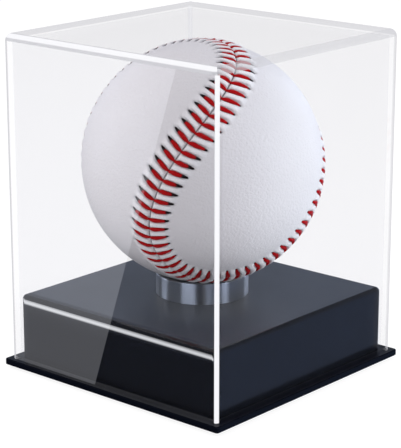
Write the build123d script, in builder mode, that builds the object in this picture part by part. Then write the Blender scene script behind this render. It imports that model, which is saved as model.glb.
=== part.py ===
from build123d import *
from math import cos, pi, sin, sqrt
import os

# Baseball display case: a black base with a hollow plinth on a flat plate, a clear one-piece cover
# that lifts off, a metal ring in a shallow seat, and a regulation baseball built up from its core.
# Origin: centre of the underside, at the bottom of the feet. +Z up, millimetres.
# -Y is the front, +X the right.

# ---- driving dimensions ----
case_side = 85.0            # outside of the clear cover
case_height = 106.0         # floor to the top of the cover
cover_wall = 2.0
ball_radius = 37.0          # regulation ball, 74 mm across
plinth_side = 80.0
plinth_height = 20.9
plate_side = 88.0
plate_thickness = 2.0
foot_height = 1.0
ring_outer_radius = 14.45
ring_wall = 2.0
ring_height = 7.2

# ---- base ----
plate_corner = 1.0
plate_edge = 0.4
plinth_wall = 2.0
plinth_top_wall = 2.6
plinth_corner = 1.5
plinth_top_fillet = 1.4
seat_depth = 0.6            # shallow round seat for the ring
seat_clearance = 0.05       # radial, so that the ring can turn
foot_radius = 5.0
foot_dome = 0.3
foot_pitch = 72.0
boss_radius = 3.6
boss_pitch = 60.0
pilot_radius = 1.25
pilot_depth = 8.0

# ---- screws ----
shank_radius = 1.45
shank_length = 8.6
shank_point = 1.6
head_radius = 2.75
head_height = 1.5
head_sink = 0.1             # the head sits this far inside the plate
screw_hole_radius = 1.7
countersink_angle = 82.0
cross_length = 3.2
cross_width = 0.7
cross_depth = 0.9

# ---- cover ----
cover_outer_radius = 2.4
cover_inner_radius = 0.8
corner_margin = 0.05        # keeps a top fillet just smaller than the corner it meets

# ---- ring ----
ring_chamfer = 0.8
ring_edge = 0.3

# ---- ball, from the middle out ----
layer_gap = 0.05            # between one layer and the next
cork_radius = 10.3
half_shell_radius = 14.3
gasket_thickness = 0.8
core_radius = 17.45
first_wool_radius = 31.35
second_wool_radius = 33.1
third_wool_radius = 35.35
cotton_radius = 35.65
leather_inner_radius = ball_radius - 1.3
leather_joint = 0.3         # the gap that the two leather edges leave along the seam
ball_rest_lift = 0.45       # the stitches hold the leather this far off the ring

# ---- seam and stitches ----
seam_b = 0.22               # share of the third harmonic in the seam curve
seam_a = 1.0 - seam_b
seam_arc_count = 8
seam_arc_spans = 8
wall_overshoot = 3.0
stitch_count = 108
stitch_reach = 5.5          # from the seam to the hole, across the seam
stitch_setback = 1.3        # the legs point back along the seam by this much
thread_radius = 0.55
thread_rise = 0.1           # the thread's middle line above the leather, at the seam
leg_arch = 0.1              # how much higher the middle of a leg stands
leg_dip = 0.7               # how deep a leg ends below the leather's crown
sphere_turn = 20.0          # keeps the sphere's own seam line off the ends of the seam's arcs
ball_spin_1 = 59.3          # the ball's attitude: turns about Z, then Y, then Z again
ball_tilt = 43.8
ball_spin_2 = 147.0

# ---- levels ----
plate_bottom = foot_height
plate_top = plate_bottom + plate_thickness
plinth_top = plate_top + plinth_height
seat_floor = plinth_top - seat_depth
ring_top = seat_floor + ring_height
ring_inner_radius = ring_outer_radius - ring_wall
contact_radius = ring_inner_radius + ring_chamfer
ball_centre = ring_top + sqrt(ball_radius**2 - contact_radius**2) + ball_rest_lift
cover_height = case_height - plate_top
cavity_side = case_side - 2 * cover_wall
cavity_height = cover_height - cover_wall
screw_head_level = plate_bottom + head_sink

ball_plane = Plane(
    Location((0, 0, ball_centre)) * Rot(Z=ball_spin_1) * Rot(Y=ball_tilt) * Rot(Z=ball_spin_2)
)


def seam_frame(turn):
    """The seam at this share of a full turn, on a ball of radius 1: the point itself, which is
    also the outward direction, and the unit direction along the seam."""
    angle = 2 * pi * turn
    lift = 2 * sqrt(seam_a * seam_b)
    outward = Vector(
        seam_a * cos(angle) + seam_b * cos(3 * angle),
        seam_a * sin(angle) - seam_b * sin(3 * angle),
        lift * sin(2 * angle),
    )
    along = Vector(
        -seam_a * sin(angle) - 3 * seam_b * sin(3 * angle),
        seam_a * cos(angle) - 3 * seam_b * cos(3 * angle),
        2 * lift * cos(2 * angle),
    )
    return outward, along.normalized()


def seam_point(turn, radius, side):
    """A point of the seam on a sphere of this radius, moved this far across the seam."""
    outward, along = seam_frame(turn)
    across = outward.cross(along)
    return (outward + across * (side / ball_radius)).normalized() * radius


def seam_arcs(radius, side=0.0):
    """The closed seam curve on a sphere of this radius, as equal arcs end to end."""
    arcs = []
    for arc in range(seam_arc_count):
        turns = [(arc + i / seam_arc_spans) / seam_arc_count for i in range(seam_arc_spans + 1)]
        points = [seam_point(turn, radius, side) for turn in turns]
        end_directions = [seam_frame(turns[0])[1], seam_frame(turns[-1])[1]]
        arcs.append(Edge.make_spline(points, tangents=end_directions))
    return arcs


def seam_wall(side):
    """A ruled wall that stands on the seam and passes right through the leather."""
    inner = seam_arcs(leather_inner_radius - wall_overshoot, side)
    outer = seam_arcs(ball_radius + wall_overshoot, side)
    return Shell([Face.make_surface_from_curves(*pair) for pair in zip(inner, outer)])


os.makedirs("parts", exist_ok=True)

# ---- base ----

with BuildPart() as base_plate:
    with BuildSketch(Plane.XY.offset(plate_bottom)):
        RectangleRounded(plate_side, plate_side, plate_corner)
    extrude(amount=plate_thickness)
    fillet(base_plate.faces().filter_by(Axis.Z).edges(), radius=plate_edge)
    with Locations(Plane.XY.offset(plate_bottom).rotated((180, 0, 0))):
        with GridLocations(boss_pitch, boss_pitch, 2, 2):
            CounterSinkHole(
                radius=screw_hole_radius,
                counter_sink_radius=head_radius + head_sink,
                depth=plate_thickness,
                counter_sink_angle=countersink_angle,
            )
base_plate.part.label = "base_plate"
export_step(base_plate.part, "parts/base_plate.step")

with BuildPart() as plinth:
    with BuildSketch(Plane.XY.offset(plate_top)):
        RectangleRounded(plinth_side, plinth_side, plinth_corner)
    extrude(amount=plinth_height)
    fillet(plinth.faces().sort_by(Axis.Z)[-1].edges(), radius=plinth_top_fillet)
    # the hollow, open towards the plate
    with BuildSketch(Plane.XY.offset(plate_top)):
        Rectangle(plinth_side - 2 * plinth_wall, plinth_side - 2 * plinth_wall)
    extrude(amount=plinth_height - plinth_top_wall, mode=Mode.SUBTRACT)
    # screw bosses that hang from the top wall
    with BuildSketch(Plane.XY.offset(plate_top)):
        with GridLocations(boss_pitch, boss_pitch, 2, 2):
            Circle(boss_radius)
    extrude(amount=plinth_height - plinth_top_wall / 2)
    with BuildSketch(Plane.XY.offset(plate_top)):
        with GridLocations(boss_pitch, boss_pitch, 2, 2):
            Circle(pilot_radius)
    extrude(amount=pilot_depth, mode=Mode.SUBTRACT)
    # the ring's seat
    with BuildSketch(Plane.XY.offset(seat_floor)):
        Circle(ring_outer_radius + seat_clearance)
    extrude(amount=seat_depth, mode=Mode.SUBTRACT)
plinth.part.label = "plinth"
export_step(plinth.part, "parts/plinth.step")

for depth_word, foot_y in (("front", -foot_pitch / 2), ("rear", foot_pitch / 2)):
    for side_word, foot_x in (("left", -foot_pitch / 2), ("right", foot_pitch / 2)):
        with BuildPart() as foot:
            with BuildSketch(Plane((foot_x, foot_y, 0))):
                Circle(foot_radius)
            extrude(amount=foot_height)
            fillet(foot.edges().sort_by(Axis.Z)[0], radius=foot_dome)
        foot.part.label = f"{depth_word}_{side_word}_foot"
        export_step(foot.part, f"parts/{foot.part.label}.step")

with BuildPart() as one_screw:
    with BuildSketch(Plane.XZ):
        with BuildLine():
            Polyline(
                (0, 0),
                (head_radius, 0),
                (shank_radius, head_height),
                (shank_radius, shank_length - shank_point),
                (0, shank_length),
                close=True,
            )
        make_face()
    revolve(axis=Axis.Z)
    with BuildSketch():
        Rectangle(cross_length, cross_width)
        Rectangle(cross_width, cross_length)
    extrude(amount=cross_depth, mode=Mode.SUBTRACT)

with BuildPart() as plinth_screws:
    with Locations(Plane.XY.offset(screw_head_level)):
        with GridLocations(boss_pitch, boss_pitch, 2, 2):
            add(one_screw.part)
plinth_screws.part.label = "plinth_screws"
export_step(plinth_screws.part, "parts/plinth_screws.step")

# ---- cover ----

with BuildPart() as cover_cavity:
    with BuildSketch(Plane.XY.offset(plate_top)):
        RectangleRounded(cavity_side, cavity_side, cover_inner_radius)
    extrude(amount=cavity_height)
    fillet(cover_cavity.faces().sort_by(Axis.Z)[-1].edges(), radius=cover_inner_radius - corner_margin)

with BuildPart() as clear_cover:
    with BuildSketch(Plane.XY.offset(plate_top)):
        RectangleRounded(case_side, case_side, cover_outer_radius)
    extrude(amount=cover_height)
    fillet(clear_cover.faces().sort_by(Axis.Z)[-1].edges(), radius=cover_outer_radius - corner_margin)
    add(cover_cavity.part, mode=Mode.SUBTRACT)
clear_cover.part.label = "clear_cover"
export_step(clear_cover.part, "parts/clear_cover.step")

# ---- ring ----

with BuildPart() as support_ring:
    with BuildSketch(Plane.XZ):
        with BuildLine():
            Polyline(
                (ring_inner_radius, seat_floor),
                (ring_outer_radius, seat_floor),
                (ring_outer_radius, ring_top - ring_edge),
                (ring_outer_radius - ring_edge, ring_top),
                (contact_radius, ring_top),
                (ring_inner_radius, ring_top - ring_chamfer),
                close=True,
            )
        make_face()
    revolve(axis=Axis.Z)
support_ring.part.label = "support_ring"
export_step(support_ring.part, "parts/support_ring.step")

# ---- ball core: cork in two black rubber halves with a gasket, inside red rubber ----

with BuildPart(ball_plane) as cork_core:
    Sphere(cork_radius)
cork_core.part.label = "cork_core"
export_step(cork_core.part, "parts/cork_core.step")

for half, keep_side in (("a", Keep.TOP), ("b", Keep.BOTTOM)):
    with BuildPart(ball_plane) as half_shell:
        Sphere(half_shell_radius)
        Sphere(cork_radius + layer_gap, mode=Mode.SUBTRACT)
        Cylinder(core_radius, gasket_thickness + 2 * layer_gap, mode=Mode.SUBTRACT)
        split(bisect_by=ball_plane, keep=keep_side)
    half_shell.part.label = f"core_half_shell_{half}"
    export_step(half_shell.part, f"parts/core_half_shell_{half}.step")

with BuildPart(ball_plane) as core_gasket:
    Cylinder(half_shell_radius, gasket_thickness)
    Cylinder(cork_radius + layer_gap, gasket_thickness, mode=Mode.SUBTRACT)
core_gasket.part.label = "core_gasket"
export_step(core_gasket.part, "parts/core_gasket.step")

# ---- round layers of the ball, each a hollow sphere ----

layers = (
    ("core_outer_shell", half_shell_radius, core_radius),
    ("first_wool_winding", core_radius, first_wool_radius),
    ("second_wool_winding", first_wool_radius, second_wool_radius),
    ("third_wool_winding", second_wool_radius, third_wool_radius),
    ("cotton_finish_winding", third_wool_radius, cotton_radius),
)
for layer_name, under_radius, over_radius in layers:
    with BuildPart(ball_plane) as layer:
        Sphere(over_radius)
        Sphere(under_radius + layer_gap, mode=Mode.SUBTRACT)
    layer.part.label = layer_name
    export_step(layer.part, f"parts/{layer_name}.step")

# ---- the two leather panels, cut from one hollow sphere along the seam ----

with BuildPart() as leather_sphere:
    Sphere(ball_radius, rotation=(0, 0, sphere_turn))
    Sphere(leather_inner_radius, rotation=(0, 0, sphere_turn), mode=Mode.SUBTRACT)

# each panel stops half the joint short of the seam; panel a is the one nearer the ball's +Z pole
for panel, side, height_order in (("a", leather_joint / 2, -1), ("b", -leather_joint / 2, 0)):
    cut_pieces = leather_sphere.part.split(seam_wall(side), keep=Keep.ALL).solids()
    with BuildPart() as leather_panel:
        with Locations(ball_plane):
            add(cut_pieces.sort_by(Axis.Z)[height_order])
    leather_panel.part.label = f"leather_panel_{panel}"
    export_step(leather_panel.part, f"parts/leather_panel_{panel}.step")

# ---- the stitches: one thread as a row of chevrons, each with two arched legs ----

seam_line = Wire(seam_arcs(ball_radius))
stitch_planes = []
for stitch in range(stitch_count):
    place = seam_line @ (stitch / stitch_count)
    heading = seam_line % (stitch / stitch_count)
    stitch_planes.append(Plane(origin=place, x_dir=heading, z_dir=place.normalized()))

with BuildPart() as one_stitch:
    with Locations((0, 0, thread_rise)):
        Sphere(thread_radius)
    for hand in (-1, 1):
        half_way = Vector(-stitch_setback / 2, hand * stitch_reach / 2, thread_rise + leg_arch)
        leg_end = Vector(-stitch_setback, hand * stitch_reach, -leg_dip)
        with BuildLine() as leg_line:
            ThreePointArc((0, 0, thread_rise), half_way, leg_end)
        with BuildSketch(Plane(leg_line.line @ 0, z_dir=leg_line.line % 0)):
            Circle(thread_radius)
        sweep(path=leg_line.line)

with BuildPart() as seam_thread:
    with Locations(*[ball_plane.location * plane.location for plane in stitch_planes]):
        add(one_stitch.part)
seam_thread.part.label = "seam_thread"
export_step(seam_thread.part, "parts/seam_thread.step")
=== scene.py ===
import math

import bpy
import numpy as np
from mathutils import Matrix, Vector
from mathutils.geometry import delaunay_2d_cdt


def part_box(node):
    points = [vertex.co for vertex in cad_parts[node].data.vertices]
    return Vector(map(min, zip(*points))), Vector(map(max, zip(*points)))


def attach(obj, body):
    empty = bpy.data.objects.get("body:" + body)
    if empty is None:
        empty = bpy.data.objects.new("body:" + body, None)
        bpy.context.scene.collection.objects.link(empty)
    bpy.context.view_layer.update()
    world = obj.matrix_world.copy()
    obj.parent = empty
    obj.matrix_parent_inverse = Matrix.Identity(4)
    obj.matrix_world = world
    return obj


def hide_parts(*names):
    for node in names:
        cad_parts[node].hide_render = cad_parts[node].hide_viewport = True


# A baseball on a metal ring in a clear lift-off cover, on a black base.
# Everything is in metres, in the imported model's own frame: +Z up, -Y the front, +X the right.

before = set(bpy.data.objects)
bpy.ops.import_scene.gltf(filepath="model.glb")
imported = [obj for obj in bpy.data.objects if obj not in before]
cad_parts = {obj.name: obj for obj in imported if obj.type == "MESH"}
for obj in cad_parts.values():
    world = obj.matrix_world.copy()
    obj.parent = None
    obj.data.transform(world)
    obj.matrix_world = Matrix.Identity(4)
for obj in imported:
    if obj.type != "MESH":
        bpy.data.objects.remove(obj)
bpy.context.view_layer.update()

MM = 0.001


# ---- Sizes: places come from the frame, and details that its boxes don't give are named here ----

cover_low, cover_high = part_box("clear_cover")
plinth_low, plinth_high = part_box("plinth")
ring_low, ring_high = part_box("support_ring")
winding_low, winding_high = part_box("cotton_finish_winding")

COVER_WALL = 2.0 * MM
COVER_OUTER_RADIUS = 2.4 * MM
COVER_INNER_RADIUS = 0.8 * MM
COVER_RIM_RADIUS = 0.2 * MM
CORNER_MARGIN = 0.05 * MM

RING_WALL = 2.0 * MM
RING_CHAMFER = 0.8 * MM
RING_OUTER_EDGE = 0.3 * MM
RING_BROKEN_EDGE = 0.08 * MM

ball_centre = (winding_low + winding_high) / 2
BALL_RADIUS = 37.0 * MM
LEATHER_INNER_RADIUS = BALL_RADIUS - 1.3 * MM

# the seam curve and its attitude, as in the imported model
SEAM_B = 0.22
SEAM_A = 1.0 - SEAM_B
BALL_SPIN_1 = math.radians(59.3)
BALL_TILT = math.radians(43.8)
BALL_SPIN_2 = math.radians(147.0)
STITCHES = 108
STITCH_REACH = 5.5 * MM
STITCH_SETBACK = 1.3 * MM


# ---- Viewpoint ----

VIEW_AZIMUTH = math.radians(41.1)
VIEW_ELEVATION = math.radians(15.79)
VIEW_DISTANCE = 562.0 * MM
LENS = 145.74
TARGET_LEVEL = 45.51 * MM
TARGET_SHIFT = -0.55 * MM


def from_camera_side(right, up, toward):
    """A direction given by how far it goes to the camera's right, up and toward the camera."""
    level_right = Vector((math.cos(VIEW_AZIMUTH), math.sin(VIEW_AZIMUTH), 0))
    level_toward = Vector((math.sin(VIEW_AZIMUTH), -math.cos(VIEW_AZIMUTH), 0))
    return level_right * right + level_toward * toward + Vector((0, 0, up))


def camera_back():
    """The direction from what the camera looks at to the camera."""
    return from_camera_side(0, math.sin(VIEW_ELEVATION), math.cos(VIEW_ELEVATION))


def camera_place():
    return from_camera_side(TARGET_SHIFT, TARGET_LEVEL, 0) + camera_back() * VIEW_DISTANCE


# ---- Materials ----


class Nodes:
    """Short ways to add and join nodes in an emptied node tree."""

    def __init__(self, tree, coordinates):
        self.tree = tree
        self.tree.nodes.clear()
        self.place = self.add("ShaderNodeTexCoord").outputs[coordinates]

    def add(self, kind):
        return self.tree.nodes.new(kind)

    def feed(self, socket, value):
        if isinstance(value, bpy.types.NodeSocket):
            self.tree.links.new(value, socket)
        else:
            socket.default_value = value

    def principled(self, **settings):
        node = self.add("ShaderNodeBsdfPrincipled")
        for key, value in settings.items():
            self.feed(node.inputs[key.replace("_", " ")], value)
        return node

    def noise(self, size, detail=3.0, roughness=0.5, place=None):
        """Noise whose features are about this size, in metres."""
        node = self.add("ShaderNodeTexNoise")
        self.feed(node.inputs["Vector"], place or self.place)
        self.feed(node.inputs["Scale"], 1 / size)
        self.feed(node.inputs["Detail"], detail)
        self.feed(node.inputs["Roughness"], roughness)
        return node.outputs["Fac"]

    def cells(self, size, feature="F1"):
        """Distance in a pattern of cells of about this size, in metres."""
        node = self.add("ShaderNodeTexVoronoi")
        node.feature = feature
        self.feed(node.inputs["Vector"], self.place)
        self.feed(node.inputs["Scale"], 1 / size)
        return node.outputs["Distance"]

    def scaled_place(self, scale):
        """The object's coordinates, stretched by a scale along each axis."""
        node = self.add("ShaderNodeMapping")
        self.feed(node.inputs["Vector"], self.place)
        self.feed(node.inputs["Scale"], scale)
        return node.outputs["Vector"]

    def range(self, value, from_low, from_high, to_low, to_high):
        """Maps a value from one range to another, held at the ends."""
        node = self.add("ShaderNodeMapRange")
        self.feed(node.inputs["Value"], value)
        self.feed(node.inputs["From Min"], from_low)
        self.feed(node.inputs["From Max"], from_high)
        self.feed(node.inputs["To Min"], to_low)
        self.feed(node.inputs["To Max"], to_high)
        return node.outputs["Result"]

    def math(self, operation, first, second=0.0):
        node = self.add("ShaderNodeMath")
        node.operation = operation
        self.feed(node.inputs[0], first)
        self.feed(node.inputs[1], second)
        return node.outputs["Value"]

    def mix(self, factor, first, second, blend_type="MIX"):
        """A colour between two colours, or one of them multiplied by the other."""
        node = self.add("ShaderNodeMix")
        node.data_type = "RGBA"
        node.blend_type = blend_type
        self.feed(node.inputs["Factor"], factor)
        self.feed(node.inputs[6], first)
        self.feed(node.inputs[7], second)
        return node.outputs[2]

    def bump(self, height, depth, normal=None):
        """A normal from a height between 0 and 1 that stands for this depth, in metres."""
        node = self.add("ShaderNodeBump")
        self.feed(node.inputs["Height"], height)
        self.feed(node.inputs["Distance"], depth)
        if normal is not None:
            self.feed(node.inputs["Normal"], normal)
        return node.outputs["Normal"]

    def parts(self, vector):
        """The X, Y and Z of a vector."""
        node = self.add("ShaderNodeSeparateXYZ")
        self.feed(node.inputs[0], vector)
        return node.outputs["X"], node.outputs["Y"], node.outputs["Z"]

    def product(self, *values):
        """All these values multiplied together."""
        result = values[0]
        for value in values[1:]:
            result = self.math("MULTIPLY", result, value)
        return result

    def vector(self, operation, first, second=(0, 0, 0)):
        """A vector worked out from two vectors, or a number if it's their dot product."""
        node = self.add("ShaderNodeVectorMath")
        node.operation = operation
        self.feed(node.inputs[0], first)
        self.feed(node.inputs[1], second)
        return node.outputs["Value" if operation == "DOT_PRODUCT" else "Vector"]

    def surface(self, fact):
        """A fact about the surface, such as its normal."""
        return self.add("ShaderNodeNewGeometry").outputs[fact]

    def ray(self, fact):
        """A fact about the ray that meets the surface, such as how often it was mirrored."""
        return self.add("ShaderNodeLightPath").outputs[fact]

    def see_through(self, tint):
        node = self.add("ShaderNodeBsdfTransparent")
        self.feed(node.inputs["Color"], tint)
        return node.outputs[0]

    def glow(self, tint, strength):
        node = self.add("ShaderNodeEmission")
        self.feed(node.inputs["Color"], tint)
        self.feed(node.inputs["Strength"], strength)
        return node.outputs[0]

    def blend(self, factor, first, second):
        """A shader between two shaders."""
        node = self.add("ShaderNodeMixShader")
        self.feed(node.inputs[0], factor)
        self.feed(node.inputs[1], first)
        self.feed(node.inputs[2], second)
        return node.outputs[0]

    def together(self, first, second):
        """Two shaders added up."""
        node = self.add("ShaderNodeAddShader")
        self.feed(node.inputs[0], first)
        self.feed(node.inputs[1], second)
        return node.outputs[0]


class Shader(Nodes):
    """A new material and its nodes."""

    def __init__(self, name):
        self.material = bpy.data.materials.new(name)
        self.material.use_nodes = True
        super().__init__(self.material.node_tree, "Object")

    def finish(self, surface):
        output = self.add("ShaderNodeOutputMaterial")
        self.feed(output.inputs["Surface"], surface)
        return self.material


def colour(red, green, blue):
    return (red, green, blue, 1.0)


WHITE = colour(1.0, 1.0, 1.0)

# the cover's acrylic: what each skin lets through and mirrors, and how brightly its edges glow with
# painted light
SIDE_TINT = (0.978, 0.978, 0.982, 1.0)
FRONT_TINT = (0.930, 0.930, 0.933, 1.0)
SMUDGED_TINT = (0.93, 0.93, 0.935, 1.0)
SMUDGE_STRENGTH = 0.04
FRONT_FADE = 0.05 * COVER_WALL
SHADOW_TINT = (0.965, 0.968, 0.975, 1.0)
PLAIN_REFLECTION = 0.04
GRAZING_REFLECTION = 0.12
EDGE_GLOW_GREY = (0.62, 0.62, 0.66, 1.0)
EDGE_GLOW_WHITE = (0.97, 0.97, 1.0, 1.0)
LINE_STRENGTH = 0.97
COLUMN_STRENGTH = 0.45
COLUMN_WIDTH = 2.2 * MM
COLUMN_FADE = 0.3 * MM
TOP_EDGE_STRENGTH = 0.48
FRONT_EDGE_STRENGTH = 0.80

# the painted sheen on the front pane, a glow that stands for a mirrored soft box: how far along
# the pane its slanting side is at the top and at the bottom, how far past the pane's left side it
# goes, and how bright it is low and high on the pane
GLARE_HEAD = 0.83
GLARE_FOOT = 0.43
GLARE_LEFT = -0.3
GLARE_LOW = 0.067
GLARE_HIGH = 0.092
GLARE_TINT = (0.98, 1.0, 1.08, 1.0)
GLARE_CHANGE = 6 * MM


def on_glare_card(eye, across, up):
    """X and Z of the point that the front pane mirrors to the eye, at this share of its width and
    height, in a plane that stands half as far in front of the pane as the eye does."""
    shown_x = cover_low.x + across * (cover_high.x - cover_low.x)
    shown_z = cover_low.z + up * (cover_high.z - cover_low.z)
    return shown_x + (shown_x - eye.x) / 2, shown_z + (shown_z - eye.z) / 2


def painted_pane_glare(s, facing_front):
    """How bright the painted reflection is that glows on the cover's outer front face. It stands for a
    soft box half as far in front of the pane as the camera, which sees it on the pane's left, up to a
    slanting line; no such box or lamp is in the scene."""
    eye = camera_place()
    depth = (cover_low.y - eye.y) / 2
    foot_x, foot_z = on_glare_card(eye, GLARE_FOOT, 0)
    head_x, head_z = on_glare_card(eye, GLARE_HEAD, 1)
    left_x = on_glare_card(eye, GLARE_LEFT, 0)[0]
    slope = (head_x - foot_x) / (head_z - foot_z)
    x, _, z = s.parts(s.surface("Position"))
    to_eye_x, to_eye_y, to_eye_z = s.parts(s.surface("Incoming"))
    reach = s.math("DIVIDE", depth, to_eye_y)
    hit_x = s.math("ADD", x, s.math("MULTIPLY", to_eye_x, reach))
    hit_z = s.math("ADD", z, s.math("MULTIPLY", to_eye_z, reach))
    side_x = s.math("ADD", foot_x, s.math("MULTIPLY", s.math("SUBTRACT", hit_z, foot_z), slope))
    within = s.product(
        s.math("LESS_THAN", hit_x, side_x),
        s.math("GREATER_THAN", hit_x, left_x),
        s.range(facing_front, -0.999, -0.98, 1.0, 0.0),
        s.math("LESS_THAN", s.ray("Transparent Depth"), 0.5),
        s.ray("Is Camera Ray"),
    )
    plinth_top = plinth_high.z
    brightness = s.range(z, plinth_top - GLARE_CHANGE, plinth_top + GLARE_CHANGE, GLARE_LOW, GLARE_HIGH)
    return s.math("MULTIPLY", within, brightness)


def acrylic_film(s, spot_y):
    """A tinted skin with a mirror film that grows at a slant. The film is on the first two skins
    that a ray meets, which are the two sides of the nearest wall."""
    behind_wall = cover_low.y + COVER_WALL
    in_front = s.range(spot_y, behind_wall + FRONT_FADE, behind_wall + 3 * FRONT_FADE, 1.0, 0.0)
    smudges = s.range(s.noise(9 * MM, 4.0), 0.55, 0.8, 0.0, SMUDGE_STRENGTH)
    tint = s.mix(smudges, s.mix(in_front, SIDE_TINT, FRONT_TINT), SMUDGED_TINT)
    mirror = s.add("ShaderNodeBsdfGlossy")
    s.feed(mirror.inputs["Roughness"], 0.0)
    slant = s.add("ShaderNodeLayerWeight")
    s.feed(slant.inputs["Blend"], 0.5)
    grazing = s.math("POWER", slant.outputs["Facing"], 5.0)
    shine = s.range(grazing, 0.0, 1.0, PLAIN_REFLECTION, GRAZING_REFLECTION)
    near = s.math("LESS_THAN", s.ray("Transparent Depth"), 1.5)
    return s.blend(s.math("MULTIPLY", near, shine), s.see_through(tint), mirror.outputs[0])


def acrylic_edge_glow(s, facing, spot):
    """How strongly the cover's rounded edges glow with painted light, and how white rather than grey."""
    across = s.math("ABSOLUTE", facing[0])
    along = s.math("ABSOLUTE", facing[1])
    up = facing[2]
    sideways = s.math("MAXIMUM", across, along)
    at_sides = s.math("GREATER_THAN", s.math("MULTIPLY", spot[0], spot[1]), 0.0)
    # the upright edges: a painted highlight in a sharp bright line down each, and a painted grey glow in
    # soft columns at the left and right
    column_edge = cover_high.x - COLUMN_WIDTH
    columns = [
        s.range(s.math("ABSOLUTE", place), column_edge, column_edge + COLUMN_FADE, 0.0, 1.0)
        for place in spot[:2]
    ]
    column = s.product(*columns, at_sides)
    line = s.product(
        s.range(s.math("MINIMUM", across, along), 0.44, 0.49, 0.0, 1.0),
        s.math("SUBTRACT", 1.0, at_sides),
        s.range(up, 0.0, 0.3, 1.0, 0.0),
    )
    # the top edges: a painted highlight in a bright crest along the front one with a painted grey glow
    # under it, and a painted grey glow round the rest
    at_front = s.range(s.math("ADD", facing[1], across), -0.05, 0.05, 1.0, 0.0)
    crest = s.product(
        at_front,
        s.range(up, 0.40, 0.52, 0.0, 1.0),
        s.range(up, 0.93, 0.975, 1.0, 0.0),
    )
    top_edge_glow = s.math(
        "MULTIPLY",
        s.range(s.math("MINIMUM", up, sideways), 0.02, 0.12, 0.0, 1.0),
        s.range(at_front, 0.0, 1.0, TOP_EDGE_STRENGTH, FRONT_EDGE_STRENGTH),
    )
    whiteness = s.math("MAXIMUM", crest, line)
    grey = s.math("MAXIMUM", s.math("MULTIPLY", column, COLUMN_STRENGTH), top_edge_glow)
    return s.math("MAXIMUM", grey, s.math("MULTIPLY", whiteness, LINE_STRENGTH)), whiteness


def clear_acrylic():
    """Polished acrylic, thin enough that it doesn't bend what is seen through it: a tinted skin with
    a mirror film, a painted reflection on the front pane, and rounded edges that glow with painted
    light, white and grey, for the light they gather."""
    s = Shader("clear_acrylic_finish")
    # the normal turns round on a face seen from behind, and this turns it back
    hand = s.range(s.surface("Backfacing"), 0.0, 1.0, 1.0, -1.0)
    facing = s.parts(s.vector("MULTIPLY", s.surface("Normal"), hand))
    spot = s.parts(s.place)
    # painted reflection: a glow on the front pane for a soft box that isn't there
    painted_glare = s.glow(GLARE_TINT, painted_pane_glare(s, facing[1]))
    edge_glow_share, whiteness = acrylic_edge_glow(s, facing, spot)
    # painted light: the rounded edges glow white or grey, though no lamp is there
    painted_edge_glow = s.glow(s.mix(whiteness, EDGE_GLOW_GREY, EDGE_GLOW_WHITE), 1.0)
    seen = s.blend(edge_glow_share, s.together(acrylic_film(s, spot[1]), painted_glare), painted_edge_glow)
    lighting = s.math("MAXIMUM", s.ray("Is Shadow Ray"), s.ray("Is Diffuse Ray"))
    return s.finish(s.blend(lighting, seen, s.see_through(SHADOW_TINT)))


# the black mouldings: what faces straight up is rougher and painted a lighter, bluish colour for the
# light that it catches, and the satin one's front edge glows with a painted highlight for a strip of
# light at the front left that no lamp gives
TOP_FACING_FROM = 0.97
TOP_ROUGHNESS = 0.13
PLINTH_SHINE = 0.5
PLINTH_TOP_SHEEN = (0.034, 0.042, 0.058, 1.0)
PLATE_SHINE = 0.06
PLATE_TOP_SHEEN = (0.006, 0.007, 0.012, 1.0)
MIRRORED_SHARE = 0.15
DIP_START = 1.2 * MM
DIP_END = 3.4 * MM
DIP_TILT = -0.42
LEAN_HEIGHT = 4.7 * MM
STRIP_DIRECTION = (-0.650, -0.670, 0.360)
# where the painted strip highlight begins to show, and where it shows in full: its long sides by how
# much a direction rises, and its ends by how close a direction is to the strip's
STRIP_LOW_SIDE = (0.17, 0.31)
STRIP_HIGH_SIDE = (0.60, 0.41)
STRIP_ENDS = (0.70, 0.88)
# how bright the painted edge highlight glows, and its tint
EDGE_SHINE = 0.80
EDGE_SHINE_TINT = (0.96, 0.97, 1.0, 1.0)


def rolled_normal(s, normal, top_face, at_front):
    """A normal for an edge that's rounded more softly than the mesh: the top dips toward the
    plinth's front edge, and the front face leans back toward it."""
    along, level = s.parts(s.place)[1:]
    dip = s.range(along, plinth_low.y + DIP_START, plinth_low.y + DIP_END, DIP_TILT, 0.0)
    lean = s.range(level, plinth_high.z - LEAN_HEIGHT, plinth_high.z, 0.0, 1.0)
    tilt = s.add("ShaderNodeCombineXYZ")
    s.feed(tilt.inputs["Y"], s.math("MULTIPLY", dip, top_face))
    s.feed(tilt.inputs["Z"], s.math("MULTIPLY", lean, at_front))
    return s.vector("NORMALIZE", s.vector("ADD", normal, tilt.outputs["Vector"]))


def painted_edge_shine(s, normal, at_front):
    """How brightly a painted highlight glows on the plinth's front edge, where it would mirror the long,
    low strip of light; no lamp gives that strip.
    """
    # the mirrored vector points away from what is seen, so its signs are turned
    mirrored = s.vector("REFLECT", s.surface("Incoming"), normal)
    closeness = s.vector("DOT_PRODUCT", mirrored, STRIP_DIRECTION)
    rise = s.parts(mirrored)[2]
    return s.product(
        s.range(rise, -STRIP_LOW_SIDE[0], -STRIP_LOW_SIDE[1], 0.0, 1.0),
        s.range(rise, -STRIP_HIGH_SIDE[0], -STRIP_HIGH_SIDE[1], 0.0, 1.0),
        s.range(closeness, -STRIP_ENDS[0], -STRIP_ENDS[1], 0.0, 1.0),
        at_front,
        EDGE_SHINE,
    )


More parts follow.
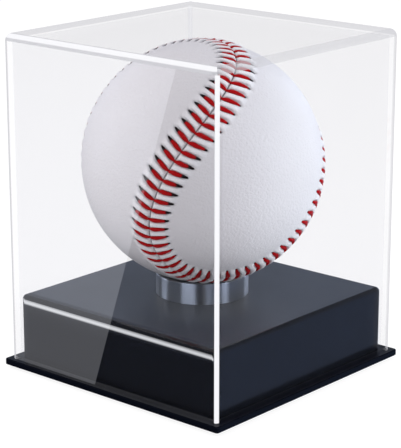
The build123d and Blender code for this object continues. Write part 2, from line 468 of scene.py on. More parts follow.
def black_acrylic(name, shine, top_sheen_tint, rolled):
    """Black moulding: an even satin polish with a faint handling haze, and a rougher top painted a
    lighter, bluish colour for the light it catches. If it's rolled, light plays on it as if its front
    edge were rounded more softly than it is, and a painted highlight glows on that edge. It shines
    less in what the metal ring mirrors."""
    s = Shader(name)
    haze = s.noise(14 * MM, 4.0, 0.6)
    tint = s.mix(haze, colour(0.0022, 0.0030, 0.0060), colour(0.0032, 0.0043, 0.0085))
    normal = s.surface("Normal")
    front_or_back, up = s.parts(normal)[1:]
    top_face = s.range(up, TOP_FACING_FROM, 1.0, 0.0, 1.0)
    polish = s.range(haze, 0.35, 0.75, 0.19, 0.23)
    shown = 0.0
    if rolled:
        at_front = s.range(front_or_back, -0.2, 0.0, 1.0, 0.0)
        normal = rolled_normal(s, normal, top_face, at_front)
        # painted highlight: the front edge glows where it would mirror the strip of light
        shown = painted_edge_shine(s, normal, at_front)
    body = s.principled(
        # painted sheen: the top face is coloured lighter and bluish for the light it catches
        Base_Color=s.mix(top_face, tint, top_sheen_tint),
        Roughness=s.math("ADD", polish, s.math("MULTIPLY", top_face, TOP_ROUGHNESS)),
        IOR=1.49,
        Specular_IOR_Level=s.range(s.ray("Glossy Depth"), 0.0, 1.0, shine, MIRRORED_SHARE * shine),
        Normal=normal,
        Emission_Color=EDGE_SHINE_TINT,
        Emission_Strength=shown,
    )
    return s.finish(body.outputs[0])


def turned_metal():
    """Aluminium with fine circular tool marks left by turning, which smear what it reflects up
    and down but not sideways, so that its wall shows upright light and dark bands."""
    s = Shader("turned_metal_finish")
    around = s.add("ShaderNodeTangent")
    around.direction_type = "RADIAL"
    around.axis = "Z"
    tool_marks = s.noise(0.22 * MM, 2.0, 0.5, s.scaled_place((0.02, 0.02, 1.0)))
    smears = s.noise(5 * MM, 3.0)
    body = s.principled(
        Base_Color=s.mix(smears, colour(0.52, 0.53, 0.55), colour(0.62, 0.63, 0.65)),
        Metallic=1.0,
        Roughness=s.range(smears, 0.3, 0.7, 0.29, 0.32),
        Anisotropic=1.0,
        Anisotropic_Rotation=0.25,
        Tangent=around.outputs["Tangent"],
        Normal=s.bump(tool_marks, 0.0008 * MM),
    )
    return s.finish(body.outputs[0])


def white_leather():
    """Tanned white cowhide: a fine pebble grain with pores, soft sheen and faint warm mottling.
    Its point attribute is 1 where painted shade greys the hide, in the seam cut, the holes and beside
    each leg, and -1 where a painted highlight pales the bulges between stitches."""
    s = Shader("white_leather_finish")
    pebbles = s.cells(0.85 * MM)
    creases = s.cells(1.5 * MM, "DISTANCE_TO_EDGE")
    fine = s.noise(0.28 * MM, 4.0, 0.6)
    mottle = s.noise(11 * MM, 4.0, 0.55)
    base = s.mix(mottle, colour(0.83, 0.815, 0.825), colour(0.90, 0.89, 0.90))
    pores = s.range(pebbles, 0.0, 0.18, 0.93, 1.0)
    tone = s.mix(1.0, base, pores, "MULTIPLY")
    shaded = s.add("ShaderNodeAttribute")
    shaded.attribute_name = "shade_and_highlight"
    highlit = s.range(shaded.outputs["Fac"], -1.0, 0.0, 1.0, 0.0)
    # painted highlight paling the bulges, then painted shade greying the cut, holes and leg sides
    with_highlight = s.mix(highlit, tone, colour(0.98, 0.97, 0.98))
    with_shade = s.mix(shaded.outputs["Fac"], with_highlight, colour(0.30, 0.31, 0.34))
    grain = s.bump(pebbles, 0.09 * MM)
    grain = s.bump(s.range(creases, 0.0, 0.12, 0.0, 1.0), 0.03 * MM, grain)
    grain = s.bump(fine, 0.05 * MM, grain)
    hide = s.principled(
        Base_Color=with_shade,
        Roughness=s.range(fine, 0.3, 0.7, 0.42, 0.58),
        IOR=1.45,
        Normal=grain,
        Sheen_Weight=0.08,
    )
    return s.finish(hide.outputs[0])


def waxed_thread():
    """Red waxed cotton thread. The attribute "reach" runs from 0 at the seam to 1 at the hole.
    Painted shade turns the thread dark toward the hole, where it goes down into the leather, sooner
    high up and to the left, and a darker red at the seam."""
    s = Shader("waxed_thread_finish")
    reach = s.add("ShaderNodeAttribute")
    reach.attribute_name = "reach"
    wobble = s.range(s.noise(0.8 * MM), 0.0, 1.0, -0.05, 0.05)
    along = s.math("ADD", reach.outputs["Fac"], wobble)
    x, _, z = s.parts(s.place)
    low_end = s.range(z, ball_centre.z - BALL_RADIUS / 2, ball_centre.z, 0.95, 0.73)
    right_end = s.range(x, BALL_RADIUS / 3, BALL_RADIUS * 2 / 3, 0.0, 0.97)
    red_end = s.math("MAXIMUM", low_end, right_end)
    fibres = s.noise(0.16 * MM, 3.0, 0.7)
    red = s.mix(fibres, colour(0.30, 0.0, 0.002), colour(0.62, 0.0, 0.004))
    # painted shade: the thread darkens toward its hole
    darkness = s.range(s.math("SUBTRACT", along, red_end), -0.02, 0.05, 0.0, 1.0)
    hole_shaded = s.mix(darkness, red, colour(0.004, 0.003, 0.005))
    # painted shade: darker red where the leg starts at the seam
    seam_shade = s.mix(s.range(along, -0.02, 0.05, 1.0, 0.0), hole_shaded, colour(0.10, 0.0, 0.002))
    body = s.principled(
        Base_Color=seam_shade,
        Roughness=0.45,
        Specular_IOR_Level=0.15,
        Specular_Tint=colour(1.0, 0.25, 0.20),
        Normal=s.bump(fibres, 0.03 * MM),
    )
    return s.finish(body.outputs[0])


def plain_rubber(name, dark, light, rough_low, rough_high):
    """Moulded rubber with a fine matt texture and slight bloom."""
    s = Shader(name)
    bloom = s.noise(3 * MM, 4.0, 0.6)
    speckle = s.noise(0.2 * MM, 2.0)
    body = s.principled(
        Base_Color=s.mix(bloom, dark, light),
        Roughness=s.range(bloom, 0.3, 0.7, rough_low, rough_high),
        Normal=s.bump(speckle, 0.02 * MM),
    )
    return s.finish(body.outputs[0])


def composition_cork():
    """Ground cork in rubber: brown granules of mixed tone with dark gaps."""
    s = Shader("composition_cork_finish")
    grains = s.add("ShaderNodeTexVoronoi")
    s.feed(grains.inputs["Vector"], s.place)
    s.feed(grains.inputs["Scale"], 1 / (1.6 * MM))
    gaps = s.range(s.cells(1.6 * MM, "DISTANCE_TO_EDGE"), 0.0, 0.08, 0.0, 1.0)
    tone = s.mix(grains.outputs["Color"], colour(0.20, 0.10, 0.04), colour(0.50, 0.31, 0.15))
    body = s.principled(
        Base_Color=s.mix(gaps, colour(0.04, 0.03, 0.02), tone),
        Roughness=0.85,
        Normal=s.bump(gaps, 0.12 * MM),
    )
    return s.finish(body.outputs[0])


def wound_yarn(name, dark, light, strand):
    """Yarn wound in crossing great circles: two sets of bands at an angle, with fuzz."""
    s = Shader(name)
    layers = []
    for turn in ((0.3, 0.9, 0.2), (1.1, -0.5, 0.8), (-0.7, 0.4, 1.4)):
        lean = s.add("ShaderNodeMapping")
        s.feed(lean.inputs["Vector"], s.place)
        s.feed(lean.inputs["Rotation"], turn)
        bands = s.add("ShaderNodeTexWave")
        s.feed(bands.inputs["Vector"], lean.outputs["Vector"])
        s.feed(bands.inputs["Scale"], 0.3 / strand)
        s.feed(bands.inputs["Distortion"], 1.2)
        s.feed(bands.inputs["Detail"], 2.0)
        layers.append(bands.outputs["Fac"])
    over = s.math("MAXIMUM", layers[0], s.math("MAXIMUM", layers[1], layers[2]))
    fuzz = s.noise(0.3 * MM, 4.0, 0.7)
    body = s.principled(
        Base_Color=s.mix(s.math("MULTIPLY", over, fuzz), dark, light),
        Roughness=0.9,
        Sheen_Weight=0.4,
        Normal=s.bump(fuzz, 0.08 * MM, s.bump(over, 0.5 * strand)),
    )
    return s.finish(body.outputs[0])


def zinc_screw():
    """Zinc-plated steel with a slight blue and yellow cast."""
    s = Shader("zinc_screw_finish")
    cast = s.noise(2.5 * MM, 3.0)
    body = s.principled(
        Base_Color=s.mix(cast, colour(0.55, 0.56, 0.60), colour(0.66, 0.62, 0.50)),
        Metallic=1.0,
        Roughness=s.range(cast, 0.3, 0.7, 0.25, 0.40),
        Normal=s.bump(s.noise(0.3 * MM), 0.01 * MM),
    )
    return s.finish(body.outputs[0])


# ---- Mesh building ----

QUARTER = math.pi / 2
COVER_STEPS = 12
RING_STEPS = 48
SHARP_ANGLE = math.radians(50)


def add_piece(name, points, faces, material):
    """A smooth-shaded mesh object from points in metres."""
    mesh = bpy.data.meshes.new(name)
    mesh.from_pydata([tuple(p) for p in points], [], [tuple(int(v) for v in face) for face in faces])
    mesh.polygons.foreach_set("use_smooth", [True] * len(mesh.polygons))
    mesh.materials.append(material)
    piece = bpy.data.objects.new(name, mesh)
    bpy.context.scene.collection.objects.link(piece)
    return piece


def stand_for(piece, node, body):
    """Hides the CAD node that the piece stands for, and attaches the piece to the body it rides on."""
    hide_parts(node)
    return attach(piece, body)


def rounded_outline(corners, steps, closed):
    """Rounds the corners of an outline that runs with the outside on its right. A corner is its
    distance from the axis, its level, its radius and the straight half-length of its loop. Gives
    rows of distance, level, straight half-length and the outward direction in the outline's plane.
    The ends of an open outline only say where it starts and ends, and give no rows."""
    rows = []
    count = len(corners)
    for i in range(count) if closed else range(1, count - 1):
        before = Vector(corners[i - 1][:2])
        here = Vector(corners[i][:2])
        after = Vector(corners[(i + 1) % count][:2])
        radius, straight = corners[i][2:]
        into = (here - before).normalized()
        out_of = (after - here).normalized()
        turn = into.angle_signed(out_of)
        start = here - into * radius * math.tan(abs(turn) / 2)
        hand = 1 if turn < 0 else -1
        hub = start + Vector((-into.y, into.x)) * radius * hand
        for step in range(steps + 1):
            share = -turn * step / steps
            heading = Vector((
                into.x * math.cos(share) - into.y * math.sin(share),
                into.x * math.sin(share) + into.y * math.cos(share),
            ))
            outward = Vector((heading.y, -heading.x))
            place = hub + outward * radius * hand
            rows.append((place.x, place.y, straight, outward))
    return rows


def loop_points(half, straight, corner_steps):
    """Points around the axis, and their outward directions: a rounded square of this half side
    whose sides are straight for this half-length, or a circle if that is 0."""
    points = []
    outward = []
    for quarter in range(4):
        base = quarter * QUARTER
        side_out = Vector((math.cos(base), math.sin(base), 0))
        side_ahead = Vector((-math.sin(base), math.cos(base), 0))
        hub = (side_out + side_ahead) * straight
        for i in range(corner_steps + 1 if straight else corner_steps):
            angle = base + i / corner_steps * QUARTER
            direction = Vector((math.cos(angle), math.sin(angle), 0))
            points.append(hub + direction * (half - straight))
            outward.append(direction)
    return points, outward


def turned_skin(name, centre, outline, corner_steps, closed, material):
    """A closed skin: one loop of points for each row of a rounded outline, with exact normals."""
    points = []
    normals = []
    for distance, level, straight, lean in outline:
        loop, outward = loop_points(distance, straight, corner_steps)
        count = len(loop)
        points.extend(centre + p + Vector((0, 0, level)) for p in loop)
        normals.extend(d * lean.x + Vector((0, 0, lean.y)) for d in outward)
    faces = []
    for row in range(len(outline) if closed else len(outline) - 1):
        below = row * count
        above = (row + 1) % len(outline) * count
        for i in range(count):
            j = (i + 1) % count
            faces.append((below + i, below + j, above + j, above + i))
    if not closed:
        faces.append(tuple(reversed(range(count))))
        faces.append(tuple(range(len(points) - count, len(points))))
    piece = add_piece(name, points, faces, material)
    piece.data.normals_split_custom_set_from_vertices([tuple(n) for n in normals])
    return piece


def middle(low, high):
    return Vector(((low.x + high.x) / 2, (low.y + high.y) / 2, 0))


def make_cover():
    """The one-piece cover, from the middle of its ceiling down the inside, round the rim, up the
    outside and to the middle of its top."""
    half = (cover_high.x - cover_low.x) / 2
    inside = half - COVER_WALL
    ceiling = cover_high.z - COVER_WALL
    outer_straight = half - COVER_OUTER_RADIUS
    inner_straight = inside - COVER_INNER_RADIUS
    outline = rounded_outline(
        [
            (0, ceiling, 0, 0),
            (inside, ceiling, COVER_INNER_RADIUS - CORNER_MARGIN, inner_straight),
            (inside, cover_low.z, COVER_RIM_RADIUS, inner_straight),
            (half, cover_low.z, COVER_RIM_RADIUS, outer_straight),
            (half, cover_high.z, COVER_OUTER_RADIUS - CORNER_MARGIN, outer_straight),
            (0, cover_high.z, 0, 0),
        ],
        steps=10,
        closed=False,
    )
    centre = middle(cover_low, cover_high)
    piece = turned_skin("moulded_cover", centre, outline, COVER_STEPS, False, clear_acrylic())
    stand_for(piece, "clear_cover", "cover")


def make_ring():
    """The turned ring: its inner top edge is chamfered to seat the ball."""
    outer = (ring_high.x - ring_low.x) / 2
    inner = outer - RING_WALL
    outline = rounded_outline(
        [
            (inner, ring_low.z, RING_BROKEN_EDGE, 0),
            (outer, ring_low.z, RING_BROKEN_EDGE, 0),
            (outer, ring_high.z, RING_OUTER_EDGE, 0),
            (inner + RING_CHAMFER, ring_high.z, RING_BROKEN_EDGE, 0),
            (inner, ring_high.z - RING_CHAMFER, RING_BROKEN_EDGE, 0),
        ],
        steps=5,
        closed=True,
    )
    centre = middle(ring_low, ring_high)
    piece = turned_skin("turned_ring", centre, outline, RING_STEPS, True, turned_metal())
    stand_for(piece, "support_ring", "ring")


# ---- The seam ----

SEAM_SAMPLES = 7200
BALL_TURN = np.array(
    Matrix.Rotation(BALL_SPIN_1, 3, "Z")
    @ Matrix.Rotation(BALL_TILT, 3, "Y")
    @ Matrix.Rotation(BALL_SPIN_2, 3, "Z")
)


def seam_at(angle):
    """The seam on a ball of radius 1 at these parameter angles, and its unnormalised heading."""
    lift = 2 * math.sqrt(SEAM_A * SEAM_B)
    point = np.stack(
        [
            SEAM_A * np.cos(angle) + SEAM_B * np.cos(3 * angle),
            SEAM_A * np.sin(angle) - SEAM_B * np.sin(3 * angle),
            lift * np.sin(2 * angle),
        ],
        axis=-1,
    )
    heading = np.stack(
        [
            -SEAM_A * np.sin(angle) - 3 * SEAM_B * np.sin(3 * angle),
            SEAM_A * np.cos(angle) - 3 * SEAM_B * np.cos(3 * angle),
            2 * lift * np.cos(2 * angle),
        ],
        axis=-1,
    )
    return point, heading


seam_angles = np.linspace(0, 2 * math.pi, SEAM_SAMPLES + 1)
seam_speeds = np.linalg.norm(seam_at(seam_angles)[1], axis=-1)
seam_steps = (seam_speeds[1:] + seam_speeds[:-1]) / 2 * np.diff(seam_angles)
seam_distances = np.concatenate([[0], np.cumsum(seam_steps)]) * BALL_RADIUS
SEAM_LENGTH = seam_distances[-1]
STITCH_PITCH = SEAM_LENGTH / STITCHES


def seam_frame(distance):
    """Outward and across directions at these distances along the seam, in metres."""
    angle = np.interp(np.mod(distance, SEAM_LENGTH), seam_distances, seam_angles)
    outward, heading = seam_at(angle)
    heading = heading / np.linalg.norm(heading, axis=-1, keepdims=True)
    return outward, np.cross(outward, heading)


def beside_seam(distance, reach):
    """Directions from the ball's centre to points this far along the seam and this far across."""
    outward, across = seam_frame(distance)
    swing = np.asarray(reach)[..., None] / BALL_RADIUS
    return outward * np.cos(swing) + across * np.sin(swing)


def in_place(points):
    """Points in the ball's own frame, turned and moved to where the ball rests."""
    return points @ BALL_TURN.T + np.array(ball_centre)


def smooth_step(low, high, value):
    share = np.clip((value - low) / (high - low), 0, 1)
    return share * share * (3 - 2 * share)


def smooth_curve(knots, values, at):
    """A smooth curve through these values at these knots."""
    slopes = np.gradient(np.asarray(values, float), knots)
    i = np.clip(np.searchsorted(knots, at) - 1, 0, len(knots) - 2)
    knots = np.asarray(knots, float)
    values = np.asarray(values, float)
    span = knots[i + 1] - knots[i]
    u = np.clip((at - knots[i]) / span, 0, 1)
    from_left = values[i] * (1 + 2 * u) * (1 - u) ** 2 + slopes[i] * span * u * (1 - u) ** 2
    from_right = values[i + 1] * u * u * (3 - 2 * u) - slopes[i + 1] * span * u * u * (1 - u)
    return from_left + from_right


# ---- Leather ----

COLUMNS_PER_STITCH = 16
ROW_REACHES = (0.10, 0.16, 0.25, 0.37, 0.52, 0.72, 1.0, 1.35, 1.75, 2.2, 2.65, 3.1, 3.55, 4.0, 4.4,
               4.75, 5.05, 5.3, 5.55, 5.8, 6.1, 6.5, 7.0)
OUTER_SPACING = 1.1 * MM
INNER_SPACING = 3.0 * MM
SAMPLES_PER_STITCH = 8
INSIDE_ONLY = 1
MERGE_DISTANCE = 1e-9


def stitch_place(distance, reach):
    """Three distances in millimetres: to the nearest stitch's leg along the seam, from the seam,
    and past the middle of the stitch's hole."""
    d = reach / MM
    pitch = STITCH_PITCH / MM
    full_reach = STITCH_REACH / MM
    leg_offset = distance / MM + STITCH_SETBACK / MM * d / full_reach
    return np.mod(leg_offset + pitch / 2, pitch) - pitch / 2, d, d - full_reach - 0.1


def leather_height(distance, reach):
    """How far the leather stands off the ball's radius beside the seam, in metres: it's pulled
    down under each stitch and at each hole, and bulges between them."""
    phase, d, past_hole = stitch_place(distance, reach)
    band = smooth_step(0, 1.0, d) * (1 - smooth_step(4.5, 6.8, d))
    welt = 0.10 * (1 - smooth_step(5, 7, d))
    bulge = 0.62 * band * smooth_step(0.55, 1.15, np.abs(phase))
    valley = -0.20 * band * np.exp(-((phase / 0.60) ** 2))
    edge_roll = -0.40 * (1 - smooth_step(0, 0.6, d)) ** 2
    hole = -0.75 * np.exp(-((past_hole / 0.55) ** 2) - (phase / 0.33) ** 2)
    return (welt + bulge + valley + edge_roll + hole) * MM


def leather_painted_shade(distance, reach):
    """How much painted shade greys the leather beside the seam, in the cut, the holes and beside each
    leg, up to 1, or, below 0, how much a painted highlight pales it between two stitches, down to -1."""
    phase, d, past_hole = stitch_place(distance, reach)
    # painted shadow beside each leg, painted shade in the cut and holes, painted highlight on the pillows
    beside_leg = np.exp(-(((np.abs(phase) - 0.72) / 0.22) ** 2))
    leg_shadow = 0.55 * beside_leg * smooth_step(0.2, 1.0, d) * (1 - smooth_step(4.6, 5.8, d))
    cut_shade = 0.7 * (1 - smooth_step(0.0, 0.28, d))
    hole = np.exp(-((past_hole / 0.45) ** 2) - (phase / 0.30) ** 2)
    pillow_highlight = smooth_step(0.9, 1.3, np.abs(phase)) * smooth_step(0.3, 0.8, d) * (1 - smooth_step(4.6, 6.0, d))
    shaded = np.clip(leg_shadow + cut_shade + hole, 0, 1)
    return shaded - pillow_highlight * (1 - shaded)


def spread_points(spacing):
    """Directions spread evenly over a sphere of the ball's radius, about this far apart."""
    count = int(4 * math.pi * BALL_RADIUS**2 / (spacing**2 * math.sqrt(3) / 2))
    index = np.arange(count) + 0.5
    level = 1 - 2 * index / count
    turn = index * math.pi * (3 - math.sqrt(5))
    width = np.sqrt(1 - level**2)
    return np.stack([width * np.cos(turn), width * np.sin(turn), level], axis=-1)


def inside_panel(directions, side, clearance):
    """Those directions on one side of the seam, and at least this far from it."""
    samples = np.linspace(0, SEAM_LENGTH, STITCHES * SAMPLES_PER_STITCH, endpoint=False)
    outward, across = seam_frame(samples)
    closeness = directions @ outward.T
    nearest = np.argmax(closeness, axis=1)
    rows = np.arange(len(directions))
    far_enough = closeness[rows, nearest] < math.cos(clearance / BALL_RADIUS)
    right_side = np.sum(directions * across[nearest], axis=1) * side > 0
    return directions[far_enough & right_side]


def fill_inside(rim, inner, side):
    """Triangles that fill a closed rim of directions through the inner directions. They're found
    in a flat map of the sphere seen from the pole that the panel doesn't hold."""
    both = np.concatenate([rim, inner])
    flat = both[:, :2] / (1 + side * both[:, 2:])
    points = [Vector(p) for p in flat]
    outline = [list(range(len(rim)))]
    triangles = delaunay_2d_cdt(points, [], outline, INSIDE_ONLY, MERGE_DISTANCE)[2]
    return [tuple(t) if side > 0 else tuple(reversed(t)) for t in triangles]


def make_leather(panel, side):
    """One leather panel: a fine band beside the seam that holds the stitch relief, a plain crown,
    and the flesh side, joined by the cut edge."""
    columns = STITCHES * COLUMNS_PER_STITCH
    rows = len(ROW_REACHES)
    distance = np.arange(columns) * SEAM_LENGTH / columns
    reach = np.array(ROW_REACHES)[:, None] * MM
    band = beside_seam(np.broadcast_to(distance, (rows, columns)), side * reach)
    height = leather_height(distance[None, :], reach)
    band_points = (band * (BALL_RADIUS + height)[..., None]).reshape(-1, 3)
    crown = inside_panel(spread_points(OUTER_SPACING), side, reach[-1, 0] + OUTER_SPACING / 2)
    flesh = inside_panel(spread_points(INNER_SPACING), side, INNER_SPACING / 2)
    cut_edge = band[0]
    outer_count = rows * columns + len(crown)
    points = np.concatenate(
        [band_points, crown * BALL_RADIUS, cut_edge * LEATHER_INNER_RADIUS, flesh * LEATHER_INNER_RADIUS]
    )
    faces = []
    for row in range(rows - 1):
        for i in range(columns):
            j = (i + 1) % columns
            near = row * columns
            far = near + columns
            faces.append((near + i, near + j, far + j, far + i))
    for i in range(columns):
        j = (i + 1) % columns
        faces.append((j, i, outer_count + i, outer_count + j))
    if side < 0:
        faces = [tuple(reversed(face)) for face in faces]
    last_row = (rows - 1) * columns
    faces.extend(
        tuple(last_row + v for v in triangle) for triangle in fill_inside(band[-1], crown, side)
    )
    faces.extend(
        tuple(outer_count + v for v in reversed(triangle))
        for triangle in fill_inside(cut_edge, flesh, side)
    )
    piece = add_piece(f"sewn_leather_{panel}", in_place(points), faces, leather_finish)
    piece.data.set_sharp_from_angle(angle=SHARP_ANGLE)
    # painted shade and painted highlight beside the seam
    shade_and_highlight = np.zeros(len(points))
    shade_and_highlight[: rows * columns] = leather_painted_shade(distance[None, :], reach).reshape(-1)
    attribute = piece.data.attributes.new("shade_and_highlight", "FLOAT", "POINT")
    attribute.data.foreach_set("value", shade_and_highlight)
    stand_for(piece, f"leather_panel_{panel}", "ball")


# ---- Thread ----

LEG_STATIONS = 24
LEG_SIDES = 14
LEG_KNOTS = (-0.3, 0.4, 1.5, 3.0, 4.5, 5.5, 6.0)
LEG_HEIGHTS = (-0.35, 0.12, 0.30, 0.26, 0.10, -0.35, -0.60)
LEG_HALF_WIDTHS = (0.30, 0.45, 0.64, 0.62, 0.46, 0.36, 0.30)
LEG_FLATNESS = 0.68
STRAND_DEPTH = 0.07
STRANDS = 3
STRAND_TURNS = 2.0


def leg_points(stitch, side):
    """The rings of points of one leg of a stitch, from the seam to its hole: a laid cord that
    swells between its ends."""
    reach = np.linspace(LEG_KNOTS[0], LEG_KNOTS[-1], LEG_STATIONS)
    distance = stitch * STITCH_PITCH - STITCH_SETBACK * reach / (STITCH_REACH / MM)
    lift = smooth_curve(LEG_KNOTS, LEG_HEIGHTS, reach) * MM
    half_width = smooth_curve(LEG_KNOTS, LEG_HALF_WIDTHS, reach) * MM
    outward = beside_seam(distance, side * reach * MM)
    line = outward * (BALL_RADIUS + lift)[:, None]
    ahead = np.gradient(line, axis=0)
    ahead /= np.linalg.norm(ahead, axis=1, keepdims=True)
    sideways = np.cross(ahead, outward)
    sideways /= np.linalg.norm(sideways, axis=1, keepdims=True)
    upward = np.cross(sideways, ahead)
    turn = np.arange(LEG_SIDES) / LEG_SIDES * 2 * math.pi
    lay = reach[:, None] / LEG_KNOTS[-1] * STRAND_TURNS * 2 * math.pi
    swell = 1 + STRAND_DEPTH * np.cos(STRANDS * turn + lay)
    across = (half_width[:, None] * swell * np.cos(turn))[..., None] * sideways[:, None, :]
    over = (half_width[:, None] * swell * np.sin(turn))[..., None] * upward[:, None, :]
    rings = line[:, None, :] + across + over * LEG_FLATNESS
    return rings.reshape(-1, 3), np.repeat(reach / (STITCH_REACH / MM), LEG_SIDES)


def make_thread():
    """The seam thread: two legs for each stitch, one into each panel."""
    points = []
    reaches = []
    faces = []
    for stitch in range(STITCHES):
        for side in (1, -1):
            start = len(points) * LEG_STATIONS * LEG_SIDES
            ring_points, ring_reaches = leg_points(stitch, side)
            points.append(ring_points)
            reaches.append(ring_reaches)
            for station in range(LEG_STATIONS - 1):
                near = start + station * LEG_SIDES
                far = near + LEG_SIDES
                for i in range(LEG_SIDES):
                    j = (i + 1) % LEG_SIDES
                    faces.append((near + j, near + i, far + i, far + j))
            faces.append(tuple(start + i for i in range(LEG_SIDES)))
            last = start + (LEG_STATIONS - 1) * LEG_SIDES
            faces.append(tuple(last + i for i in reversed(range(LEG_SIDES))))
    piece = add_piece("sewn_thread", in_place(np.concatenate(points)), faces, waxed_thread())
    attribute = piece.data.attributes.new("reach", "FLOAT", "POINT")
    attribute.data.foreach_set("value", np.concatenate(reaches))
    stand_for(piece, "seam_thread", "ball")


# ---- Finishes for the CAD nodes that are shown as they are ----


def finish_nodes(finish, *names):
    for name in names:
        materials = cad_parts[name].data.materials
        for i in range(len(materials)):
            materials[i] = finish


def finish_cad_nodes():
    finish_nodes(black_acrylic("satin_plinth_finish", PLINTH_SHINE, PLINTH_TOP_SHEEN, rolled=True), "plinth")
    finish_nodes(black_acrylic("dull_plate_finish", PLATE_SHINE, PLATE_TOP_SHEEN, rolled=False), "base_plate")
    feet = ("front_left_foot", "front_right_foot", "rear_left_foot", "rear_right_foot")
    foot_rubber = plain_rubber(
        "foot_rubber_finish", colour(0.010, 0.010, 0.011), colour(0.022, 0.022, 0.024), 0.55, 0.75
    )
    finish_nodes(foot_rubber, *feet)
    finish_nodes(zinc_screw(), "plinth_screws")
    finish_nodes(composition_cork(), "cork_core")
    black_rubber = plain_rubber(
        "black_rubber_finish", colour(0.008, 0.008, 0.008), colour(0.020, 0.019, 0.018), 0.45, 0.65
    )
    finish_nodes(black_rubber, "core_half_shell_a", "core_half_shell_b")
    red_rubber = plain_rubber(
        "red_rubber_finish", colour(0.30, 0.020, 0.015), colour(0.42, 0.035, 0.025), 0.45, 0.65
    )
    finish_nodes(red_rubber, "core_gasket", "core_outer_shell")
    grey_wool = wound_yarn("grey_wool_finish", colour(0.14, 0.14, 0.145), colour(0.36, 0.36, 0.37), 1.3 * MM)
    finish_nodes(grey_wool, "first_wool_winding", "third_wool_winding")
    white_wool = wound_yarn("white_wool_finish", colour(0.45, 0.44, 0.41), colour(0.78, 0.77, 0.73), 1.3 * MM)
    finish_nodes(white_wool, "second_wool_winding")
    cotton = wound_yarn("white_cotton_finish", colour(0.55, 0.54, 0.50), colour(0.86, 0.85, 0.81), 0.6 * MM)
    finish_nodes(cotton, "cotton_finish_winding")


# ---- Stage: floor, light and camera ----


def make_camera():
    data = bpy.data.cameras.new("camera")
    data.lens = LENS
    data.sensor_width = 36.0
    data.clip_start = 0.01
    camera = bpy.data.objects.new("camera", data)
    bpy.context.scene.collection.objects.link(camera)
    camera.location = camera_place()
    camera.rotation_euler = (-camera_back()).to_track_quat("-Z", "Y").to_euler()
    bpy.context.scene.camera = camera


def aim(thing, place, target):
    thing.location = place
    thing.rotation_euler = (target - place).to_track_quat("-Z", "Y").to_euler()


def add_soft_light(name, direction, distance, width, height, power, tint):
    """A soft box that no mirror-like surface shows."""
    data = bpy.data.lights.new(name, "AREA")
    data.shape = "RECTANGLE"
    data.size = width
    data.size_y = height
    data.energy = power
    data.color = tint
    lamp = bpy.data.objects.new(name, data)
    bpy.context.scene.collection.objects.link(lamp)
    aim(lamp, ball_centre + direction.normalized() * distance, ball_centre)
    lamp.visible_glossy = False
    lamp.visible_camera = False
    lamp.visible_transmission = False


def make_lights():
    """A warm-white key from the upper left and a cool fill from the right."""
    add_soft_light(
        "key_light",
        from_camera_side(-0.80, 0.60, 0.05),
        distance=0.55,
        width=0.30,
        height=0.30,
        power=1.15,
        tint=(1.0, 0.99, 0.99),
    )
    add_soft_light(
        "right_fill",
        from_camera_side(0.95, 0.15, 0.05),
        distance=0.55,
        width=0.30,
        height=0.40,
        power=2.3,
        tint=(0.86, 0.94, 1.0),
    )


PAPER_GREY = 0.20
PAPER_GREY_TO_MATT = 0.75
PAPER_GLOW = 0.88


def make_floor():
    """A white sweep. To the eye it stays white, except for a faint shadow under the plate; to matt
    things it's a soft grey, and mirror-like things look through it to the studio."""
    s = Shader("pale_floor")
    matt = s.ray("Diffuse Depth")
    paper = s.principled(
        Base_Color=s.range(matt, 0.0, 1.0, PAPER_GREY, PAPER_GREY_TO_MATT),
        Roughness=0.9,
        Specular_IOR_Level=0.0,
    )
    lit = s.together(paper.outputs[0], s.glow(WHITE, s.range(matt, 0.0, 1.0, PAPER_GLOW, 0.0)))
    mirrored = s.range(s.ray("Glossy Depth"), 0.0, 1.0, 0.0, 1.0)
    finish = s.finish(s.blend(mirrored, lit, s.see_through(WHITE)))
    far = 3.0
    corners = [(-far, -far, 0), (far, -far, 0), (far, far, 0), (-far, far, 0)]
    add_piece("floor", corners, [(0, 1, 2, 3)], finish)


# What stands around the object, for mirror-like things: a grey belt with soft boxes and dark
# flags. A row is the bearing of its middle in degrees to the right of the camera, its width in
# degrees, and how bright it is.
BELT_GREY = 0.32
BELT_BOXES = (
    (-150, 36, 1.1),
    (-106, 22, 2.8),
    (-72, 26, 0.50),
    (-34, 36, 3.2),
    (-3, 24, 0.15),
    (16, 14, 1.5),
    (37, 22, 0.9),
    (58, 16, 2.8),
    (142, 30, 2.6),
    (180, 40, 0.52),
)
BOX_SOFTNESS = 5
BELT_TINT = (0.80, 0.90, 1.12, 1.0)
CEILING = (0.10, 0.11, 0.13, 1.0)
LEFT_GROUND = (0.035, 0.046, 0.073, 1.0)
RIGHT_GROUND = (0.224, 0.294, 0.464, 1.0)
RIGHT_GROUND_FROM = -7
RIGHT_GROUND_TO = 22
HORIZON_FADE = 0.06
CEILING_FROM = 0.42
CEILING_TO = 0.56

# What else surrounds the object: white behind it to the eye and partly in what is mirrored twice,
# soft light for matt things, and a dim grey that only the acrylic's sharp film mirrors.
WHITE_STRENGTH = 1.05
SOFT_TINT = (1.0, 0.965, 1.01, 1.0)
SOFT_STRENGTH = 0.71
OUTER_TINT = (0.95, 0.95, 1.0, 1.0)
OUTER_STRENGTH = 0.08
SECOND_MIRROR_SHARE = 0.25


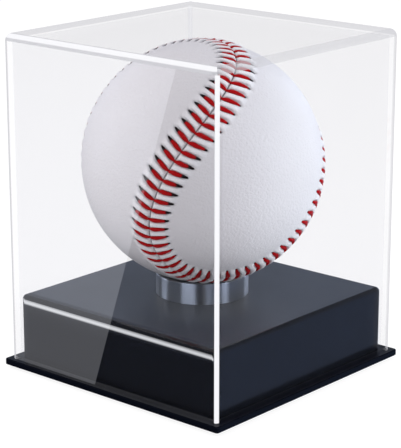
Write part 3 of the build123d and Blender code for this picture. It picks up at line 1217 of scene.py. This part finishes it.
def studio_belt(s, bearing):
    """The colour of the belt at this bearing in degrees."""
    level = BELT_GREY
    for middle_bearing, width, brightness in BELT_BOXES:
        away = s.math("ABSOLUTE", s.math("SUBTRACT", bearing, middle_bearing))
        away = s.math("MINIMUM", away, s.math("SUBTRACT", 360, away))
        within = s.range(away, (width - BOX_SOFTNESS) / 2, (width + BOX_SOFTNESS) / 2, 1.0, 0.0)
        step = s.add("ShaderNodeMix")
        s.feed(step.inputs["Factor"], within)
        s.feed(step.inputs["A"], level)
        s.feed(step.inputs["B"], brightness)
        level = step.outputs[0]
    return s.vector("MULTIPLY", BELT_TINT[:3], level)


def background(s, tint, strength):
    node = s.add("ShaderNodeBackground")
    s.feed(node.inputs["Color"], tint)
    s.feed(node.inputs["Strength"], strength)
    return node.outputs[0]


def make_world():
    """White behind the object, soft light on matt things, and a grey studio with brighter and
    darker sides for mirror-like things."""
    world = bpy.data.worlds.new("studio")
    bpy.context.scene.world = world
    world.use_nodes = True
    world.cycles.sampling_method = "NONE"
    s = Nodes(world.node_tree, "Generated")
    east, north, up = s.parts(s.place)
    sine = math.sin(VIEW_AZIMUTH)
    cosine = math.cos(VIEW_AZIMUTH)
    # to the camera's right, and toward the camera
    right = s.math("ADD", s.math("MULTIPLY", east, cosine), s.math("MULTIPLY", north, sine))
    toward = s.math("SUBTRACT", s.math("MULTIPLY", east, sine), s.math("MULTIPLY", north, cosine))
    bearing = s.math("DEGREES", s.math("ARCTAN2", right, toward))
    at_right = s.range(bearing, RIGHT_GROUND_FROM, RIGHT_GROUND_TO, 0.0, 1.0)
    overhead = s.range(up, CEILING_FROM, CEILING_TO, 0.0, 1.0)
    above_ground = s.range(up, -HORIZON_FADE, HORIZON_FADE, 0.0, 1.0)
    around = s.mix(overhead, studio_belt(s, bearing), CEILING)
    around = s.mix(above_ground, s.mix(at_right, LEFT_GROUND, RIGHT_GROUND), around)
    bounces = s.ray("Glossy Depth")
    mirror = s.math(
        "MULTIPLY",
        s.range(bounces, 0.0, 1.0, 0.0, 1.0),
        s.range(bounces, 1.0, 2.0, 1.0, SECOND_MIRROR_SHARE),
    )
    inner = background(s, around, 1.0)
    outer = background(s, OUTER_TINT, OUTER_STRENGTH)
    studio = s.blend(s.ray("Is Singular Ray"), inner, outer)
    seen = s.blend(mirror, background(s, WHITE, WHITE_STRENGTH), studio)
    matt = s.math("GREATER_THAN", s.ray("Diffuse Depth"), 0.5)
    whole = s.blend(matt, seen, background(s, SOFT_TINT, SOFT_STRENGTH))
    output = s.add("ShaderNodeOutputWorld")
    s.feed(output.inputs["Surface"], whole)


# ---- The whole scene ----

leather_finish = white_leather()
make_cover()
make_ring()
make_leather("a", 1)
make_leather("b", -1)
make_thread()
finish_cad_nodes()
make_camera()
make_floor()
make_lights()
make_world()
scene = bpy.context.scene
scene.view_settings.view_transform = "Standard"
scene.cycles.max_bounces = 12
scene.cycles.transparent_max_bounces = 32
scene.cycles.caustics_reflective = False
scene.cycles.caustics_refractive = False
